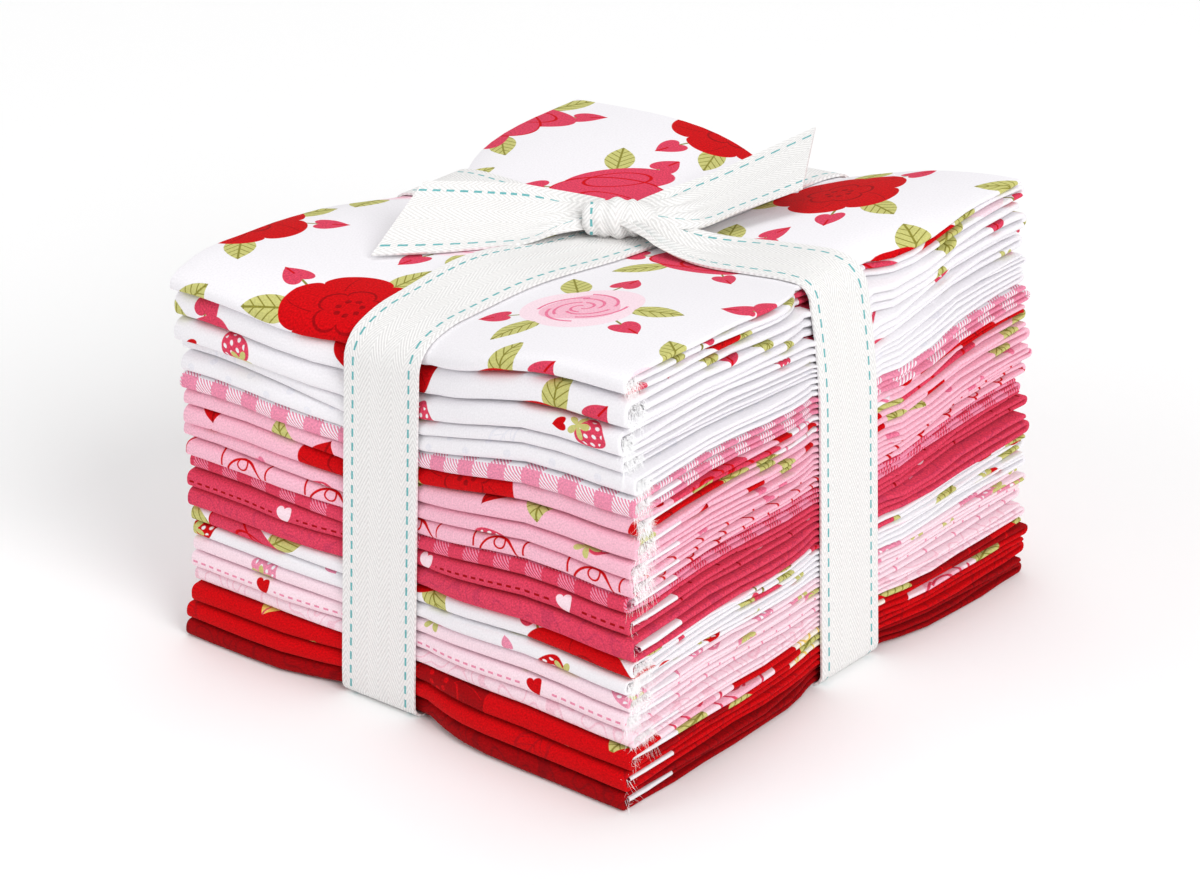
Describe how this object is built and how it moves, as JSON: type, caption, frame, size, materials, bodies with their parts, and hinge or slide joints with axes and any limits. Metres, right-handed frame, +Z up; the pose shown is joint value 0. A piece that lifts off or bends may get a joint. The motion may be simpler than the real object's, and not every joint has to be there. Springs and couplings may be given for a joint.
{
  "type": "fat quarter bundle",
  "caption": "Bundle of folded printed cotton quarters piled to one size and tied crosswise with a white twill tape, knotted on top with two free ends.",
  "frame": {"origin": "on the surface the bundle rests on, under the middle of the pile", "axes": "+Z up, +X towards the stacked ends of the folded cloths, -Y towards the rounded folds"},
  "size_m": [0.1398, 0.1586, 0.109],
  "materials": {
    "white_garden_print": "matte printed cotton",
    "blush_garden_print": "matte printed cotton",
    "white_strawberry_print": "matte printed cotton",
    "white_tonal_leaf": "matte printed cotton",
    "white_tonal_spot": "matte printed cotton",
    "pink_gingham": "matte printed cotton",
    "pink_garden_print": "matte printed cotton",
    "pink_bloom_print": "matte printed cotton",
    "pink_strawberry_print": "matte printed cotton",
    "pink_scallop_print": "matte printed cotton",
    "rose_gingham": "matte printed cotton",
    "rose_heart_stitch": "matte printed cotton",
    "rose_tonal": "matte printed cotton",
    "cream_garden_print": "matte printed cotton",
    "cream_strawberry_print": "matte printed cotton",
    "pale_pink_bud_print": "matte printed cotton",
    "pale_pink_heart_stitch": "matte printed cotton",
    "pale_pink_tonal": "matte printed cotton",
    "red_garden_print": "matte printed cotton",
    "red_tonal_leaf": "matte printed cotton",
    "dark_red_tonal": "matte printed cotton",
    "twill_tape": "matte herringbone twill"
  },
  "bodies": {
    "root": {"quarter_01": "white_garden_print", "quarter_02": "blush_garden_print", "quarter_03": "white_strawberry_print", "quarter_04": "white_tonal_leaf", "quarter_05": "white_tonal_spot", "quarter_06": "pink_gingham", "quarter_07": "pink_garden_print", "quarter_08": "pink_bloom_print", "quarter_09": "pink_strawberry_print", "quarter_10": "pink_scallop_print", "quarter_11": "rose_gingham", "quarter_12": "rose_heart_stitch", "quarter_13": "rose_tonal", "quarter_14": "cream_garden_print", "quarter_15": "cream_strawberry_print", "quarter_16": "pale_pink_bud_print", "quarter_17": "pale_pink_heart_stitch", "quarter_18": "pale_pink_tonal", "quarter_19": "red_garden_print", "quarter_20": "red_tonal_leaf", "quarter_21": "dark_red_tonal", "tie_tape": "twill_tape"}
  },
  "joints": []
}
